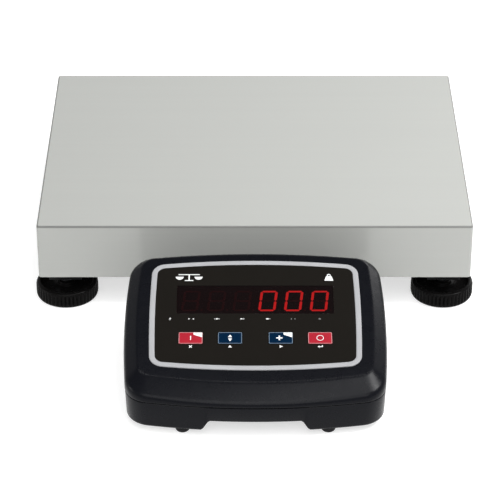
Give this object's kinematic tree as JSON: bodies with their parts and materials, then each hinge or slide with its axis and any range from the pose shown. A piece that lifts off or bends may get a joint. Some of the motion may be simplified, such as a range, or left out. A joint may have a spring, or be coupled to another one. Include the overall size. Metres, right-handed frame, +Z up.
{
  "type": "bench weighing scale",
  "caption": "Bench weighing scale: a flat stainless pan over a load cell on levelling feet, cabled to a separate sloping indicator with a red digit display and keys.",
  "frame": {"origin": "on the bench, under the centre of the whole object's bounding box", "axes": "+X to the operator's right, +Y away from the operator, +Z up"},
  "size_m": [0.41, 0.513, 0.087],
  "materials": {
    "stainless": "brushed along its length",
    "aluminium": "milled",
    "frame_paint": "powder coated, fine texture",
    "zinc": "zinc plated",
    "black_plastic": "moulded, satin",
    "knob_plastic": "moulded, satin, ribbed",
    "case_plastic": "moulded, fine spark-eroded texture",
    "rubber": "moulded",
    "label": "printed satin film",
    "window": "smoked red filter",
    "display_black": "moulded",
    "red_key": "printed satin film",
    "blue_key": "printed satin film",
    "dome_foil": "printed film",
    "circuit_board": "solder mask",
    "battery_grey": "moulded",
    "level_glass": "clear, tinted liquid",
    "cable": "extruded sheath"
  },
  "bodies": {
    "base": {"load_cell": "aluminium", "base_frame": "frame_paint", "cable_gland": "black_plastic", "cell_spacer_lower": "zinc", "fixed_end_bolt_1": "zinc", "fixed_end_bolt_2": "zinc", "level_cup": "black_plastic", "level_vial": "level_glass", "load_cell_cable": "cable", "front_label": "label", "display_window": "window", "led_display": "display_black", "key_dome_sheet": "dome_foil", "main_board": "circuit_board", "upper_shell": "case_plastic", "lower_shell": "case_plastic", "battery": "battery_grey", "cable_socket": "zinc", "cable_plug": "black_plastic", "power_jack": "black_plastic", "overload_stop_front_left": "zinc", "foot_lock_nut_front_left": "zinc", "case_foot_front_left": "rubber", "case_screw_front_left": "zinc", "overload_stop_front_right": "zinc", "foot_lock_nut_front_right": "zinc", "case_foot_front_right": "rubber", "case_screw_front_right": "zinc", "overload_stop_rear_left": "zinc", "foot_lock_nut_rear_left": "zinc", "case_foot_rear_left": "rubber", "case_screw_rear_left": "zinc", "overload_stop_rear_right": "zinc", "foot_lock_nut_rear_right": "zinc", "case_foot_rear_right": "rubber", "case_screw_rear_right": "zinc"},
    "pan": {"pan": "stainless"},
    "weighing_carriage": {"upper_frame": "aluminium", "cell_spacer_upper": "zinc", "free_end_bolt_1": "zinc", "free_end_bolt_2": "zinc", "pan_bumper_front_left": "rubber", "pan_bumper_front_right": "rubber", "pan_bumper_rear_left": "rubber", "pan_bumper_rear_right": "rubber"},
    "battery_door": {"battery_door": "case_plastic"},
    "key_1": {"key_1": "red_key"},
    "key_2": {"key_2": "blue_key"},
    "key_3": {"key_3": "blue_key"},
    "key_4": {"key_4": "red_key"},
    "foot_sole_front_left": {"foot_sole_front_left": "rubber"},
    "foot_knob_front_left": {"foot_knob_front_left": "knob_plastic"},
    "foot_sole_front_right": {"foot_sole_front_right": "rubber"},
    "foot_knob_front_right": {"foot_knob_front_right": "knob_plastic"},
    "foot_sole_rear_left": {"foot_sole_rear_left": "rubber"},
    "foot_knob_rear_left": {"foot_knob_rear_left": "knob_plastic"},
    "foot_sole_rear_right": {"foot_sole_rear_right": "rubber"},
    "foot_knob_rear_right": {"foot_knob_rear_right": "knob_plastic"}
  },
  "joints": [
    {"name": "weighing_deflection", "type": "slide", "parent": "base", "child": "weighing_carriage", "axis": [0, 0, -1], "range_m": [0, 0.0005], "stiffness_N_per_m": 150000, "springref_m": -0.0002, "deforming": ["load_cell"]},
    {"name": "pan_lift", "type": "slide", "parent": "weighing_carriage", "child": "pan", "axis": [0, 0, 1], "range_m": [0, 0.07]},
    {"name": "battery_door_removal", "type": "slide", "parent": "base", "child": "battery_door", "axis": [0, 0, -1], "range_m": [0, 0.01]},
    {"name": "key_1_press", "type": "slide", "parent": "base", "child": "key_1", "axis": [0, 0.2419, -0.9703], "range_m": [0, 0.0004], "stiffness_N_per_m": 300},
    {"name": "key_2_press", "type": "slide", "parent": "base", "child": "key_2", "axis": [0, 0.2419, -0.9703], "range_m": [0, 0.0004], "stiffness_N_per_m": 300},
    {"name": "key_3_press", "type": "slide", "parent": "base", "child": "key_3", "axis": [0, 0.2419, -0.9703], "range_m": [0, 0.0004], "stiffness_N_per_m": 300},
    {"name": "key_4_press", "type": "slide", "parent": "base", "child": "key_4", "axis": [0, 0.2419, -0.9703], "range_m": [0, 0.0004], "stiffness_N_per_m": 300},
    {"name": "foot_height_front_left", "type": "slide", "parent": "base", "child": "foot_sole_front_left", "axis": [0, 0, -1], "range_m": [-0.003, 0.008]},
    {"name": "foot_turn_front_left", "type": "hinge", "parent": "foot_sole_front_left", "child": "foot_knob_front_left", "pos_m": [-0.176, -0.0245, 0], "axis": [0, 0, -1], "range_deg": [-725, 1925]},
    {"name": "foot_height_front_right", "type": "slide", "parent": "base", "child": "foot_sole_front_right", "axis": [0, 0, -1], "range_m": [-0.003, 0.008]},
    {"name": "foot_turn_front_right", "type": "hinge", "parent": "foot_sole_front_right", "child": "foot_knob_front_right", "pos_m": [0.176, -0.0245, 0], "axis": [0, 0, -1], "range_deg": [-725, 1925]},
    {"name": "foot_height_rear_left", "type": "slide", "parent": "base", "child": "foot_sole_rear_left", "axis": [0, 0, -1], "range_m": [-0.003, 0.008]},
    {"name": "foot_turn_rear_left", "type": "hinge", "parent": "foot_sole_rear_left", "child": "foot_knob_rear_left", "pos_m": [-0.176, 0.2275, 0], "axis": [0, 0, -1], "range_deg": [-725, 1925]},
    {"name": "foot_height_rear_right", "type": "slide", "parent": "base", "child": "foot_sole_rear_right", "axis": [0, 0, -1], "range_m": [-0.003, 0.008]},
    {"name": "foot_turn_rear_right", "type": "hinge", "parent": "foot_sole_rear_right", "child": "foot_knob_rear_right", "pos_m": [0.176, 0.2275, 0], "axis": [0, 0, -1], "range_deg": [-725, 1925]}
  ],
  "couplings": [
    {"joint": "foot_turn_front_left", "follows": "foot_height_front_left", "rad_per_m": 4188.8},
    {"joint": "foot_turn_front_right", "follows": "foot_height_front_right", "rad_per_m": 4188.8},
    {"joint": "foot_turn_rear_left", "follows": "foot_height_rear_left", "rad_per_m": 4188.8},
    {"joint": "foot_turn_rear_right", "follows": "foot_height_rear_right", "rad_per_m": 4188.8}
  ]
}
